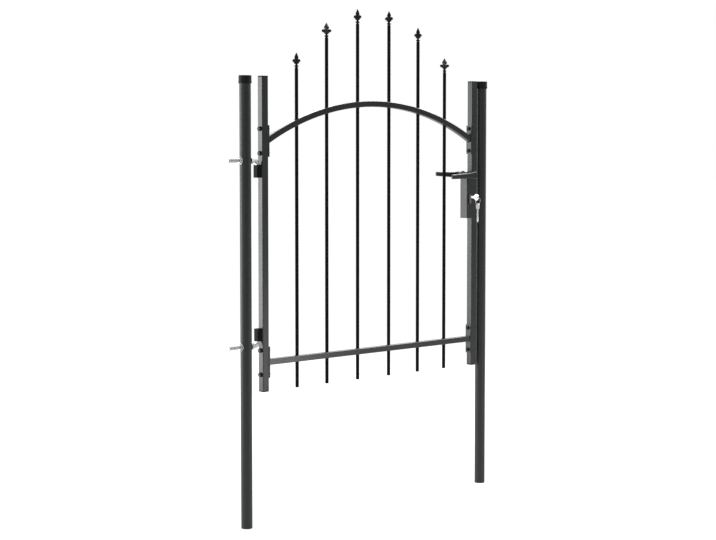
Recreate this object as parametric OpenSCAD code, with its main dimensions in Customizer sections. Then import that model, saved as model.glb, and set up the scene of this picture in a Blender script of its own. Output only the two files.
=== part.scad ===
// Arched garden gate of steel tube with spear-topped bars, hung between two round posts.
// Origin: centre of the hinge post's foot. +X runs along the gate to the latch post,
// -Y is the front, +Z is up. All lengths are in millimetres.

/* [Posts] */
// Outer diameter of a post
post_d = 38; // [32:1:60]
// Wall of a post
post_wall = 1.5; // [1:0.1:3]
// Height of a post without its cap's top
post_h = 1497; // [1300:1:2000]
// Distance between the two posts' centre lines
post_pitch = 1080; // [980:1:1300]
// Height of the sleeve cap on a post
cap_h = 26; // [15:1:40]
// Wall of the sleeve cap
cap_wall = 2; // [1.5:0.1:4]
// Thickness of the cap's top
cap_top = 3; // [2:0.1:6]
// Height of the lip round the cap's lower edge
cap_lip_h = 5; // [3:0.5:10]
// How far that lip stands out of the cap
cap_lip = 0.8; // [0.4:0.1:1.5]

/* [Leaf frame] */
// Height of the leaf's foot above the posts' feet
leaf_lift = 450; // [300:1:600]
// Length of a stile
stile_h = 1042; // [950:1:1200]
// Side of a stile's square tube
stile_w = 25; // [22:0.5:40]
// Side of a rail's square tube
rail_w = 20; // [16:0.5:22]
// Wall of the square tubes
tube_wall = 1.5; // [1:0.1:2.5]
// Outer corner radius of the square tubes
tube_r = 2; // [1.8:0.1:3]
// Gap between the hinge post and the leaf
hinge_gap = 41; // [36:0.5:60]
// Gap between the leaf and the latch post
latch_gap = 15; // [14:0.5:30]
// Height of the bottom rail's centre above the leaf's foot
rail_z = 98; // [80:1:150]
// Height of the arch's ends below the leaf's top
arch_drop = 215; // [200:1:270]
// Rise of the arch's centre line between its ends
arch_rise = 127; // [90:1:150]
// Thickness of a plug's flange at a stile's ends
plug_t = 4; // [2:0.1:6]
// Depth of a plug inside its stile
plug_depth = 12; // [6:1:20]

/* [Rail brackets] */
// Height of a bracket plate
plate_h = 105; // [98:1:130]
// Thickness of a bracket plate
plate_t = 5; // [3:0.1:8]
// Distance between the two bolts of a bracket
bolt_pitch = 81; // [70:1:84]
// Diameter of a bracket bolt
bolt_d = 8; // [6:0.5:10]
// Width across the flats of its head and nut
bolt_af = 13; // [10:0.5:16]
// Height of its head and nut
bolt_head_h = 5.3; // [4:0.1:6]
// How far it stands out of its nut
bolt_end = 2; // [1:0.5:6]
// Diameter of the washer under its head
bolt_washer_d = 16; // [15:0.5:20]
// Thickness of that washer
bolt_washer_t = 1.6; // [1:0.1:3]

/* [Bars and spearheads] */
// Diameter of a bar
bar_d = 12; // [10:0.5:14]
// Wall of a bar
bar_wall = 1; // [0.8:0.1:1.5]
// Distance of the two inner bars from the middle of the leaf
inner_bar_x = 72; // [50:1:95]
// Distance of the next two bars from the middle of the leaf
middle_bar_x = 210; // [150:1:240]
// Distance of the two outer bars from the middle of the leaf
outer_bar_x = 340; // [290:1:370]
// Height of the inner bars' tips above the leaf's top
inner_tip = 239; // [200:1:300]
// Height of the next two bars' tips above the leaf's top
middle_tip = 186; // [150:1:260]
// Height of the outer bars' tips above the leaf's top
outer_tip = 81; // [60:1:200]
// Height of a spearhead
spear_h = 52; // [45:1:70]
// Width across a spearhead's wings
spear_w = 34; // [30:1:44]
// Thickness of a wing
wing_t = 9; // [6:0.5:11]
// Radius of the knob that a wing ends in
knob_r = 5; // [4:0.1:6]
// Width of a spearhead's blade
blade_w = 17.5; // [14:0.5:24]
// Diameter of the collar under it
collar_d = 14; // [13:0.5:18]
// Length of the spigot inside the bar
spigot_l = 14; // [8:1:30]

/* [Hinges] */
// Diameter of a hinge bolt
pin_d = 12; // [10:0.5:14]
// Side of a hinge barrel
barrel_w = 20; // [18:0.5:24]
// Height of a hinge barrel
barrel_h = 42; // [30:1:60]
// Height of the upper hinge bolt below the leaf's top
upper_hinge_drop = 279; // [270:1:340]
// Height of the lower hinge bolt above the leaf's foot
lower_hinge_z = 156; // [150:1:200]
// Length of a hinge bolt beyond the far side of its post
bolt_tail = 52; // [40:1:100]
// Radius of the bend's middle line in a hinge bolt
bend_r = 14; // [12:0.5:18]
// Gap between a barrel and the bend
barrel_gap = 1; // [0.5:0.1:3]
// Width across the flats of a hinge nut
nut_af = 19; // [17:0.5:22]
// Height of a hinge nut
nut_h = 7; // [5:0.5:8]
// Diameter of a hinge washer
washer_d = 24; // [22:0.5:28]
// Thickness of a hinge washer
washer_t = 2; // [1:0.1:2.5]

/* [Lock] */
// Width of the lock case along the gate
case_w = 30; // [26:1:40]
// Depth of the lock case across the gate
case_depth = 34; // [30:1:44]
// Height of the lock case
case_h = 170; // [150:1:200]
// Wall of the lock case
case_wall = 1.5; // [1:0.1:3]
// Height of the lock case's top below the leaf's top
case_drop = 333; // [325:1:400]
// Distance of the spindle below the case's top
spindle_drop = 12; // [11:0.5:30]
// Distance between spindle and cylinder
cylinder_drop = 80; // [72:1:92]
// Side of the square spindle
spindle_w = 8; // [7:0.5:9]
// Reach of a lever from spindle to tip
lever_reach = 114; // [90:1:150]
// Distance of a lever's middle from the gate's middle plane
lever_offset = 42; // [38:1:60]
// Thickness of a lever
lever_t = 12; // [8:0.5:16]
// Radius of a lever's root end
lever_root_r = 14; // [13:0.5:18]
// Height of a lever where its arm leaves the root
lever_neck_h = 20; // [18:0.5:24]
// Height of a lever at its tip
lever_tip_h = 16; // [12:0.5:18]
// Radius of the tip's corners
lever_corner_r = 4.5; // [2:0.5:6]
// Radius of the hub where it meets the lever
hub_r = 12; // [11:0.5:13]
// Radius that the hub widens to at the case
hub_base_r = 17; // [13:0.5:20]
// Gap between the hub and the case
hub_gap = 1; // [0.5:0.1:3]
// How far the front lever hangs below level, in degrees
front_droop = 2; // [0:0.5:5]
// How far the back lever stands above level, in degrees
back_rise = 3; // [0:0.5:5]

/* [Keys] */
// Diameter of a key's bow
bow_d = 23; // [20:0.5:28]
// Thickness of a key
key_t = 2.4; // [2:0.1:3]
// Length of a key's blade
blade_l = 48; // [40:1:60]
// Height of a key's blade
blade_h = 8; // [6:0.5:9]
// How much of the blade is in the cylinder
blade_in = 26; // [18:1:30]
// Outer radius of the key ring
ring_r = 13; // [12:0.5:18]
// Diameter of the key ring's wire
wire_d = 2; // [1.5:0.1:2.4]

/* [Hidden] */
$fn = 48;
SIDES = ["hinge_side", "latch_side"];
BARS = [1, 2, 3, 4, 5, 6];

// Clearance of pieces that slide into each other
fit = 0.3;
// Depth of a cut past the faces it goes through
cut = 1;
// Rounding of the cap's upper edge
cap_round = 1;
// Stiles stand between their plugs' flanges
stile_foot = leaf_lift + plug_t;
leaf_top = stile_foot + stile_h + plug_t;
// Width of the leaf between its stiles' outer faces, and where it starts
leaf_x = post_d / 2 + hinge_gap;
leaf_w = post_pitch - post_d - hinge_gap - latch_gap;
mid_x = leaf_x + leaf_w / 2;
// Half of the width between the bracket plates
half_span = leaf_w / 2 - stile_w - plate_t;
// Arch through its two ends and its crown
half_chord = leaf_w / 2 - stile_w;
arch_end_z = leaf_top - arch_drop;
arch_r = (half_chord * half_chord + arch_rise * arch_rise) / (2 * arch_rise);
arch_centre_z = arch_end_z + arch_rise - arch_r;
rail_mid_z = leaf_lift + rail_z;
BOLT_HEIGHTS = [for (z = [rail_mid_z, arch_end_z], k = [-1, 1]) z + k * bolt_pitch / 2];
// Bars from the hinge side to the latch side: their places, the tips' heights and
// how far the cast heads are turned on them, in degrees
BAR_X = [-outer_bar_x, -middle_bar_x, -inner_bar_x, inner_bar_x, middle_bar_x, outer_bar_x];
TIP_RISE = [outer_tip, middle_tip, inner_tip, inner_tip, middle_tip, outer_tip];
HEAD_TURNS = [7, 51, 5, 12, 3, 47];
// Hinge pins run down the middle of their barrels
pin_x = leaf_x - barrel_w / 2;
upper_hinge_z = leaf_top - upper_hinge_drop;
lower_hinge_bolt_z = leaf_lift + lower_hinge_z;
// Lock
case_x = leaf_x + leaf_w - stile_w - case_w;
case_foot = leaf_top - case_drop - case_h;
spindle_x = case_x + case_w / 2;
spindle_z = case_foot + case_h - spindle_drop;
// Profile cylinder: a round barrel and a lobe under it
cylinder_z = spindle_z - cylinder_drop;
cylinder_r = 8.5;
cylinder_lobe_w = 10;
cylinder_lobe_drop = 20;
cylinder_out = 4;
cylinder_face = case_depth / 2 + cylinder_out;
// Keys: the blade runs into the bow by bow_lap, and the hole leaves bow_rim at the bow's edge
bow_lap = 2;
bow_rim = 2;
keyway_w = key_t + 2 * fit;
bow_y = cylinder_face + blade_l - blade_in + bow_d / 2 - bow_lap;
bow_hole_d = wire_d + 3;
hole_off = bow_d / 2 - bow_hole_d / 2 - bow_rim;
ring_mid_r = ring_r - wire_d / 2;
// The ring's wire lies on a bow hole's edge, and the spare key's hole hangs on the wire
hang = (bow_hole_d - wire_d) / 2 - fit;

steel = "#3a3b3d";
black = "#151617";
zinc = "#c9c7c0";

// ---- shared shapes ----

// Square outline with rounded corners, centred
module rounded_square(side, r) {
    square([side, side - 2 * r], center = true);
    square([side - 2 * r, side], center = true);
    for (x = [-1, 1], y = [-1, 1])
        translate([x * (side / 2 - r), y * (side / 2 - r)]) circle(r);
}

// Outline of a square tube's wall
module tube_outline(side) {
    difference() {
        rounded_square(side, tube_r);
        rounded_square(side - 2 * tube_wall, tube_r - tube_wall);
    }
}

// Hexagonal prism along +X, across flats af
module hex_x(af, h) {
    rotate([0, 90, 0]) rotate([0, 0, 30]) cylinder(d = af / cos(30), h = h, $fn = 6);
}

// Cylinder along +X
module rod_x(d, h) {
    rotate([0, 90, 0]) cylinder(d = d, h = h);
}

// Puts a hinge-side piece on the hinge side, or mirrors it onto the latch side
module on_side(side) {
    if (side == "hinge_side") children();
    else translate([2 * mid_x, 0, 0]) mirror([1, 0, 0]) children();
}

// ---- posts ----

module post(x) {
    translate([x, 0, 0]) color(steel) difference() {
        cylinder(d = post_d, h = post_h, $fn = 96);
        translate([0, 0, -cut]) cylinder(d = post_d - 2 * post_wall, h = post_h + 2 * cut, $fn = 96);
        if (x == 0)
            for (z = [upper_hinge_z, lower_hinge_bolt_z])
                translate([-post_d, 0, z]) rod_x(pin_d + 2 * fit, 2 * post_d);
    }
}

// Sleeve cap with a lip round its lower edge
module post_cap(x) {
    outer_r = post_d / 2 + fit + cap_wall;
    translate([x, 0, post_h]) color(black) rotate_extrude($fn = 96) difference() {
        union() {
            translate([0, cap_top - cap_h]) square([outer_r, cap_h - cap_round]);
            translate([0, cap_top - cap_h]) square([outer_r + cap_lip, cap_lip_h]);
            square([outer_r - cap_round, cap_top]);
            translate([outer_r - cap_round, cap_top - cap_round]) intersection() {
                circle(cap_round);
                square(cap_round);
            }
        }
        translate([0, -cap_h]) square([post_d / 2 + fit, cap_h]);
    }
}

// ---- hinges ----

// Bolt through the hinge post with its end bent into a pin, down (-1) or up (+1)
module hinge_bolt(z, way) {
    start = -post_d / 2 - bolt_tail;
    color(zinc) translate([0, 0, z]) {
        translate([start, 0, 0]) rod_x(pin_d, pin_x - bend_r - start);
        translate([pin_x - bend_r, 0, way * bend_r]) rotate([90, 0, 0])
            rotate([0, 0, way < 0 ? 0 : -90]) rotate_extrude(angle = 90)
                translate([bend_r, 0]) circle(d = pin_d);
        translate([pin_x, 0, way * bend_r + (way < 0 ? -barrel_h : 0)])
            cylinder(d = pin_d, h = barrel_h);
    }
}

// Nut and washer on each side of the hinge post
module hinge_nuts(z) {
    color(zinc) for (side = [-1, 1])
        translate([side * post_d / 2, 0, z]) mirror([side < 0 ? 1 : 0, 0, 0]) difference() {
            union() {
                rod_x(washer_d, washer_t);
                translate([washer_t, 0, 0]) hex_x(nut_af, nut_h);
            }
            translate([-cut, 0, 0]) rod_x(pin_d + 2 * fit, washer_t + nut_h + 2 * cut);
        }
}

// Square barrel on the hinge stile, clear of the bend that it turns on
module hinge_barrel(z, way) {
    start = z + way * (bend_r + barrel_gap) - (way < 0 ? barrel_h : 0);
    translate([pin_x, 0, start]) color(steel) difference() {
        translate([0, 0, barrel_h / 2]) cube([barrel_w, barrel_w, barrel_h], center = true);
        translate([0, 0, -cut]) cylinder(d = pin_d + 2 * fit, h = barrel_h + 2 * cut);
    }
}

// ---- leaf frame ----

module stile(side) {
    on_side(side) color(steel) difference() {
        translate([leaf_x + stile_w / 2, 0, stile_foot]) linear_extrude(stile_h) tube_outline(stile_w);
        for (z = BOLT_HEIGHTS)
            translate([leaf_x - cut, 0, z]) rod_x(bolt_d + 2 * fit, stile_w + 2 * cut);
    }
}

module stile_plugs(side) {
    inner = stile_w - 2 * tube_wall - 2 * fit;
    inner_r = tube_r - tube_wall;
    on_side(side) translate([leaf_x + stile_w / 2, 0, 0]) color(black)
        for (way = [-1, 1]) {
            end = way < 0 ? leaf_lift : leaf_top;
            translate([0, 0, way < 0 ? end : end - plug_t]) linear_extrude(plug_t)
                rounded_square(stile_w, tube_r);
            translate([0, 0, way < 0 ? end + plug_t : end - plug_t - plug_depth])
                linear_extrude(plug_depth) rounded_square(inner, inner_r);
        }
}

// Bores where the bars go through a rail
module bar_bores() {
    for (i = BARS)
        translate([bar_x(i), 0, leaf_lift]) cylinder(d = bar_d + 2 * fit, h = leaf_top);
}

module arch_rail() {
    color(steel) difference() {
        intersection() {
            translate([mid_x, 0, arch_centre_z]) rotate([90, 0, 0]) rotate([0, 0, 45])
                rotate_extrude(angle = 90, $fn = 256) translate([arch_r, 0]) tube_outline(rail_w);
            translate([mid_x - half_span, -rail_w, leaf_lift])
                cube([2 * half_span, 2 * rail_w, leaf_top + 2 * arch_rise]);
        }
        bar_bores();
    }
}

module bottom_rail() {
    color(steel) difference() {
        translate([mid_x - half_span, 0, leaf_lift + rail_z]) rotate([90, 0, 90])
            linear_extrude(2 * half_span) tube_outline(rail_w);
        bar_bores();
    }
}

// ---- rail brackets ----

module bracket_plate(side, z) {
    on_side(side) color(steel) difference() {
        translate([leaf_x + stile_w, -stile_w / 2, z - plate_h / 2])
            cube([plate_t, stile_w, plate_h]);
        for (k = [-1, 1])
            translate([leaf_x + stile_w - cut, 0, z + k * bolt_pitch / 2])
                rod_x(bolt_d + 2 * fit, plate_t + 2 * cut);
    }
}

// Hexagon bolts from the outer face of a stile with nuts on the bracket plate
module bracket_bolts(side) {
    on_side(side) color(black) for (z = BOLT_HEIGHTS)
        translate([leaf_x, 0, z]) {
            translate([-bolt_washer_t - bolt_head_h, 0, 0]) hex_x(bolt_af, bolt_head_h);
            translate([-bolt_washer_t, 0, 0]) rod_x(bolt_washer_d, bolt_washer_t);
            rod_x(bolt_d, stile_w + plate_t + bolt_head_h + bolt_end);
            translate([stile_w + plate_t, 0, 0]) hex_x(bolt_af, bolt_head_h);
        }
}

// ---- bars and spearheads ----

function bar_x(i) = mid_x + BAR_X[i - 1];
function tip_z(i) = leaf_top + TIP_RISE[i - 1];

// Round tube from the leaf's foot to its spearhead
module bar(i) {
    bar_l = tip_z(i) - spear_h - leaf_lift;
    translate([bar_x(i), 0, leaf_lift]) color(steel) difference() {
        cylinder(d = bar_d, h = bar_l);
        translate([0, 0, -cut]) cylinder(d = bar_d - 2 * bar_wall, h = bar_l + 2 * cut);
    }
}

// Cast spearhead: a spigot in the bar, a turned collar and cup, four wings and a four-edged blade
module spearhead(i) {
    translate([bar_x(i), 0, tip_z(i) - spear_h]) rotate([0, 0, HEAD_TURNS[i - 1]]) color(steel) union() {
        rotate_extrude() head_profile();
        intersection() {
            rotate([90, 0, 45]) translate([0, 0, -blade_w]) linear_extrude(2 * blade_w) blade_outline();
            rotate([90, 0, -45]) translate([0, 0, -blade_w]) linear_extrude(2 * blade_w) blade_outline();
        }
        for (k = [0:3]) rotate([90, 0, 90 * k])
            translate([0, 0, -wing_t / 2]) linear_extrude(wing_t) wing_outline();
    }
}

// Half outline of a head's turned part: spigot, collar between two grooves, and cup
module head_profile() {
    bar_r = bar_d / 2;
    spigot_r = bar_r - bar_wall - fit;
    groove_r = bar_r - 1;
    polygon([
        [0, -spigot_l], [spigot_r, -spigot_l], [spigot_r, 0], [bar_r, 0],
        [groove_r, spear_h * 0.04], [collar_d / 2, spear_h * 0.08],
        [collar_d / 2, spear_h * 0.18], [groove_r, spear_h * 0.22], [groove_r, spear_h * 0.26],
        [bar_r + 1, spear_h * 0.34], [bar_r / 2, spear_h * 0.46], [bar_r / 2, spear_h * 0.54],
        [0, spear_h * 0.54]
    ]);
}

// Outline of the blade across its flats, which are square to each other
module blade_outline() {
    half = blade_w / 2 / sqrt(2);
    foot = half * 0.45;
    shoulder = half * 0.66;
    polygon([
        [-foot, spear_h * 0.5], [foot, spear_h * 0.5], [half, spear_h * 0.69],
        [shoulder, spear_h * 0.85], [0, spear_h], [-shoulder, spear_h * 0.85], [-half, spear_h * 0.69]
    ]);
}

// Outline of one wing in the plane of the head's axis: up and out from the cup to its knob
module wing_outline() {
    knob_x = spear_w / 2 - knob_r;
    knob_z = spear_h * 0.48;
    // The wing's edges leave the knob at right angles to its rise
    lean = 42;
    edge_x = knob_r * sin(lean);
    edge_z = knob_r * cos(lean);
    polygon([
        [0, spear_h * 0.24], [bar_d / 2 - 1, spear_h * 0.26],
        [knob_x + edge_x, knob_z - edge_z], [knob_x - edge_x, knob_z + edge_z],
        [bar_d / 4, spear_h * 0.5], [0, spear_h * 0.5]
    ]);
    translate([knob_x, knob_z]) circle(knob_r);
}

// ---- lock ----

module lock_case() {
    color(steel) difference() {
        translate([case_x, -case_depth / 2, case_foot]) cube([case_w, case_depth, case_h]);
        translate([case_x + case_wall, -case_depth / 2 + case_wall, case_foot + case_wall])
            cube([case_w - 2 * case_wall, case_depth - 2 * case_wall, case_h - 2 * case_wall]);
        translate([spindle_x, case_depth, spindle_z]) rotate([90, 0, 0])
            cylinder(d = spindle_w * sqrt(2) + 2 * fit, h = 2 * case_depth);
        translate([0, case_depth, 0]) rotate([90, 0, 0])
            linear_extrude(2 * case_depth) cylinder_outline(fit);
    }
}

// Profile cylinder's outline, grown by g
module cylinder_outline(g) {
    translate([spindle_x, cylinder_z]) {
        circle(cylinder_r + g);
        translate([-cylinder_lobe_w / 2 - g, -cylinder_lobe_drop])
            square([cylinder_lobe_w + 2 * g, cylinder_lobe_drop]);
        translate([0, -cylinder_lobe_drop]) circle(cylinder_lobe_w / 2 + g);
    }
}

module lock_cylinder() {
    color(zinc) difference() {
        translate([0, cylinder_face, 0]) rotate([90, 0, 0])
            linear_extrude(2 * cylinder_face) cylinder_outline(0);
        translate([spindle_x - keyway_w / 2, -cylinder_face - cut, cylinder_z - blade_h / 2 - fit])
            cube([keyway_w, blade_in + 2 * cut, blade_h + 2 * fit]);
    }
}

// Key lying in the Y-Z plane with its bow's centre at the origin and its blade along +Y
module key_shape() {
    rotate([90, 0, 90]) translate([0, 0, -key_t / 2]) linear_extrude(key_t) difference() {
        union() {
            circle(d = bow_d);
            translate([0, -blade_h / 2]) square([bow_d / 2 - 2 + blade_l, blade_h]);
        }
        translate([-hole_off, 0]) circle(d = bow_hole_d);
    }
}

module key() {
    color(zinc) translate([spindle_x, -bow_y, cylinder_z]) key_shape();
}

// The ring hangs in the key's hole
module key_ring() {
    color(zinc) translate([spindle_x, -bow_y - hole_off, cylinder_z - hang - ring_mid_r]) rotate([90, 0, 0])
        rotate_extrude() translate([ring_mid_r, 0]) circle(d = wire_d, $fn = 24);
}

// The spare key hangs on the ring with its blade down
module spare_key() {
    drop = 2 * (ring_mid_r + hang) + hole_off;
    color(zinc) translate([spindle_x, -bow_y - hole_off, cylinder_z - drop])
        rotate([-90, 0, 0]) key_shape();
}

module spindle() {
    half = lever_offset - lever_t / 2;
    color(zinc) translate([spindle_x - spindle_w / 2, -half, spindle_z - spindle_w / 2])
        cube([spindle_w, 2 * half, spindle_w]);
}

// Side outline of a lever with the spindle at its origin: a round root that narrows
// quickly to a slim arm, and a tip with rounded corners
module lever_outline() {
    span = lever_reach - lever_corner_r;
    neck = lever_root_r * 2;
    tip_half = lever_tip_h / 2;
    corner_z = tip_half - lever_corner_r;
    circle(lever_root_r);
    for (k = [-1, 1]) translate([span, k * corner_z]) circle(lever_corner_r);
    polygon([
        [0, -lever_root_r], [neck, -lever_neck_h / 2], [span, -tip_half], [span, -corner_z],
        [lever_reach, -corner_z], [lever_reach, corner_z], [span, corner_z], [span, tip_half],
        [neck, lever_neck_h / 2], [0, lever_root_r]
    ]);
}

// Outline of a lever seen from above, from its inner face (y = 0) to its outer face
module lever_plan() {
    corner = lever_t / 2;
    polygon([
        [-lever_root_r, 0], [lever_reach, 0], [lever_reach, lever_t - corner / 2],
        [lever_reach - corner, lever_t], [corner - lever_root_r, lever_t], [-lever_root_r, corner]
    ]);
}

// Lever on the front (-1) or the back (+1), turned down by droop, with its hub on the
// spindle. The hub widens like a cone towards the case.
module lever(way, droop) {
    hub_start = case_depth / 2 + hub_gap;
    arm_start = lever_offset - lever_t / 2;
    translate([spindle_x, 0, spindle_z]) mirror([0, way < 0 ? 1 : 0, 0]) color(black) difference() {
        union() {
            translate([0, arm_start, 0]) rotate([90, 0, 0])
                translate([0, 0, -cut])
                    cylinder(r1 = hub_r, r2 = hub_base_r, h = arm_start - hub_start + cut);
            rotate([0, -droop, 0]) mirror([1, 0, 0]) translate([0, arm_start, 0]) intersection() {
                translate([0, lever_t, 0]) rotate([90, 0, 0])
                    linear_extrude(lever_t) lever_outline();
                translate([0, 0, -2 * lever_root_r]) linear_extrude(4 * lever_root_r) lever_plan();
            }
        }
        translate([-spindle_w / 2 - fit, 0, -spindle_w / 2 - fit])
            cube([spindle_w + 2 * fit, arm_start + fit, spindle_w + 2 * fit]);
    }
}

post(0);  // hinge_post
post(post_pitch);  // latch_post
post_cap(0);  // hinge_post_cap
post_cap(post_pitch);  // latch_post_cap
hinge_bolt(upper_hinge_z, -1);  // upper_hinge_bolt
hinge_bolt(lower_hinge_bolt_z, 1);  // lower_hinge_bolt
hinge_nuts(upper_hinge_z);  // upper_hinge_nuts
hinge_nuts(lower_hinge_bolt_z);  // lower_hinge_nuts
hinge_barrel(upper_hinge_z, -1);  // upper_hinge_barrel
hinge_barrel(lower_hinge_bolt_z, 1);  // lower_hinge_barrel
stile("hinge_side");  // hinge_stile
stile("latch_side");  // latch_stile
stile_plugs("hinge_side");  // hinge_stile_plugs
stile_plugs("latch_side");  // latch_stile_plugs
arch_rail();
bottom_rail();
for (side = SIDES) {
    bracket_plate(side, arch_end_z);
    bracket_plate(side, rail_mid_z);
    bracket_bolts(side);
}
for (i = BARS) {
    bar(i);
    spearhead(i);
}
lock_case();
lock_cylinder();
key();
key_ring();
spare_key();
spindle();
lever(-1, front_droop);  // front_lever
lever(1, -back_rise);  // back_lever
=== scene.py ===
# %% [markdown]
# # An arched steel garden gate
#
# This lesson dresses the construction model of a garden gate: a leaf of welded steel tube
# with spear-topped bars, hung between two round posts. The construction model already has
# every tube and plate at its true size, so most of it only needs a good finish. The cast,
# forged and turned pieces are modelled again here, because their charm is in soft edges,
# threads and weld seams that a construction model leaves out.
#

# %% Load the construction model
import bpy
import bmesh
from math import atan2, cos, pi, radians, sin, sqrt
from mathutils import Matrix, Vector


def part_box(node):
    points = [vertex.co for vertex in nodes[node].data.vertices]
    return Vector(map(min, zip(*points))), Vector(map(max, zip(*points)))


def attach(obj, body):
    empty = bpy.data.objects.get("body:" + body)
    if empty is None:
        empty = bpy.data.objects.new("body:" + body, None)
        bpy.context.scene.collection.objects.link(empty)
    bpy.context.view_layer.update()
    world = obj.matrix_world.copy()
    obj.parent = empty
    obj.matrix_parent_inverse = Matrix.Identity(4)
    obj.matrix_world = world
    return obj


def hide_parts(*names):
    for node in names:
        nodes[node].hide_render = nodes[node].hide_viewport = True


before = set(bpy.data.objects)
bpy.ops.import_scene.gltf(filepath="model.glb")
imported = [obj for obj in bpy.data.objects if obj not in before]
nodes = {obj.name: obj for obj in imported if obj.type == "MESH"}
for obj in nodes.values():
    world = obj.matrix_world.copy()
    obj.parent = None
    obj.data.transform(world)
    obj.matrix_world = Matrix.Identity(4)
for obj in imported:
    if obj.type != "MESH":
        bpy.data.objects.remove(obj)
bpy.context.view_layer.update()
scene = bpy.context.scene

# %% [markdown]
# ## Places to measure from
#
# Everything is placed from the model's own boxes, so it still fits if a size changes. The
# posts, the spindle and the bars are the landmarks.

# %% Landmarks
def middle(node):
    low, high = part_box(node)
    return (low + high) / 2


def size(node):
    low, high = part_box(node)
    return high - low


BARS = range(1, 7)
post_radius = size("latch_post").x / 2
bar_radius = size("bar_1").x / 2
print("post radius", round(post_radius, 4), "bar radius", round(bar_radius, 4))

# %% [markdown]
# ## Camera
#
# The gate is seen from its front left, a little above half its height, through a long lens.
# A level camera with a shifted lens keeps upright posts upright in the picture, and a camera
# that is tipped down lets them lean. We take some of each: a small shift and a tilt of a few
# degrees, so the gate also stays in the picture when the camera goes round it.

# %% Camera
DOWN, LEFT_OF_FRONT = 3.49, 40.079
camera_data = bpy.data.cameras.new("camera")
camera = bpy.data.objects.new("camera", camera_data)
scene.collection.objects.link(camera)
scene.camera = camera
scene.view_settings.view_transform = "Standard"
camera_data.sensor_width = 36
camera_data.lens = 80.59
camera_data.shift_y = -0.06
camera_data.clip_end = 100
camera.location = (-3.1046, -4.2635, 1.3236)
camera.rotation_euler = (radians(90 - DOWN), 0, radians(-LEFT_OF_FRONT))
print("camera at", tuple(round(v, 3) for v in camera.location))

# %% [markdown]
# ## Studio
#
# The gate stands on a white floor in front of white. What a ray sees depends on its kind, and
# the Light Path node tells the kinds apart: rays from the camera, through glass and off
# glossy skins see the backdrop, and the rays that gather light on a surface see a softer one.
# Three small helpers keep the node trees readable.

# %% Node helpers
WHITE = (1, 1, 1, 1)


def node_tree(owner):
    owner.use_nodes = True
    owner.node_tree.nodes.clear()
    return owner.node_tree


def add_node(tree, kind, **values):
    """A shader node, with its sockets set by name and its properties set as attributes."""
    n = tree.nodes.new("ShaderNode" + kind)
    for key, value in values.items():
        socket = n.inputs.get(key.replace("_", " "))
        if socket is not None:
            socket.default_value = value
        else:
            setattr(n, key, value)
    return n


def link(tree, *pairs):
    """Joins each output to its input."""
    for source, target in pairs:
        tree.links.new(source, target)


print("helpers for node trees ready, white is", WHITE)

# %% [markdown]
# Three more helpers shape what a ray sees. One tells a direct view from gathered light. One
# mixes two shaders, with the first where its factor is 0 and the second where it is 1. The
# last is a soft ramp from one value to another.

# %% Ray helpers
def direct_view(tree):
    """1 for rays from the camera, a mirror or glass, and 0 for the light that a surface gathers."""
    path = add_node(tree, "LightPath")
    first = add_node(tree, "Math", operation="MAXIMUM")
    both = add_node(tree, "Math", operation="MAXIMUM")
    link(tree, (path.outputs["Is Camera Ray"], first.inputs[0]))
    link(tree, (path.outputs["Is Glossy Ray"], first.inputs[1]), (first.outputs[0], both.inputs[0]))
    link(tree, (path.outputs["Is Transmission Ray"], both.inputs[1]))
    return both.outputs[0]


def choose(tree, factor, first, second):
    mix = add_node(tree, "MixShader")
    link(tree, (factor, mix.inputs["Fac"]), (first, mix.inputs[1]), (second, mix.inputs[2]))
    return mix.outputs[0]


def soft_step(tree, value, came, goes):
    """Runs softly from goes[0] to goes[1] while the value runs from came[0] to came[1]."""
    n = add_node(tree, "MapRange", interpolation_type="SMOOTHSTEP")
    for socket, number in zip(("From Min", "From Max", "To Min", "To Max"), (*came, *goes)):
        n.inputs[socket].default_value = number
    link(tree, (value, n.inputs["Value"]))
    return n.outputs["Result"]


print("helpers for rays ready")

# %% [markdown]
# The world is white to the camera, while it lights the gate more softly. In reflections it is
# white behind and above the gate and dimmer in front, like a studio with a lit backdrop and a
# dark side where the camera stands: polished zinc then shows a horizon, and flat coated
# fronts stay dark.

# %% White world
AMBIENT = 0.42
BACKDROP = 1.0
FRONT = 0.3
UPHILL = (0, 0.8, 0.9)
scene.world = bpy.data.worlds.new("white_room")
tree = node_tree(scene.world)
soft = add_node(tree, "Background", Color=WHITE, Strength=AMBIENT)
white = add_node(tree, "Background", Color=WHITE, Strength=BACKDROP)
mirrored = add_node(tree, "Background", Color=WHITE)
way = add_node(tree, "TexCoord")
uphill = add_node(tree, "VectorMath", operation="DOT_PRODUCT")
uphill.inputs[1].default_value = UPHILL
link(tree, (way.outputs["Generated"], uphill.inputs[0]))
strength = soft_step(tree, uphill.outputs["Value"], (-0.6, 0.2), (FRONT, BACKDROP))
link(tree, (strength, mirrored.inputs["Strength"]))
glossy = add_node(tree, "LightPath").outputs["Is Glossy Ray"]
backdrop = choose(tree, glossy, white.outputs[0], mirrored.outputs[0])
room = choose(tree, direct_view(tree), soft.outputs[0], backdrop)
out = add_node(tree, "OutputWorld")
link(tree, (room, out.inputs["Surface"]))
print("world", scene.world.name, "ready, ambient", AMBIENT)

# %% [markdown]
# The floor shows nearly white and only darkens where the posts keep light from it: a glow
# with a little diffuse paint added. In reflections it fades towards the camera's side, so
# the glossy fronts mirror a floor that is bright near the gate and dimmer in front. The light
# that surfaces gather from it is that of plain white paint.

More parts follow.
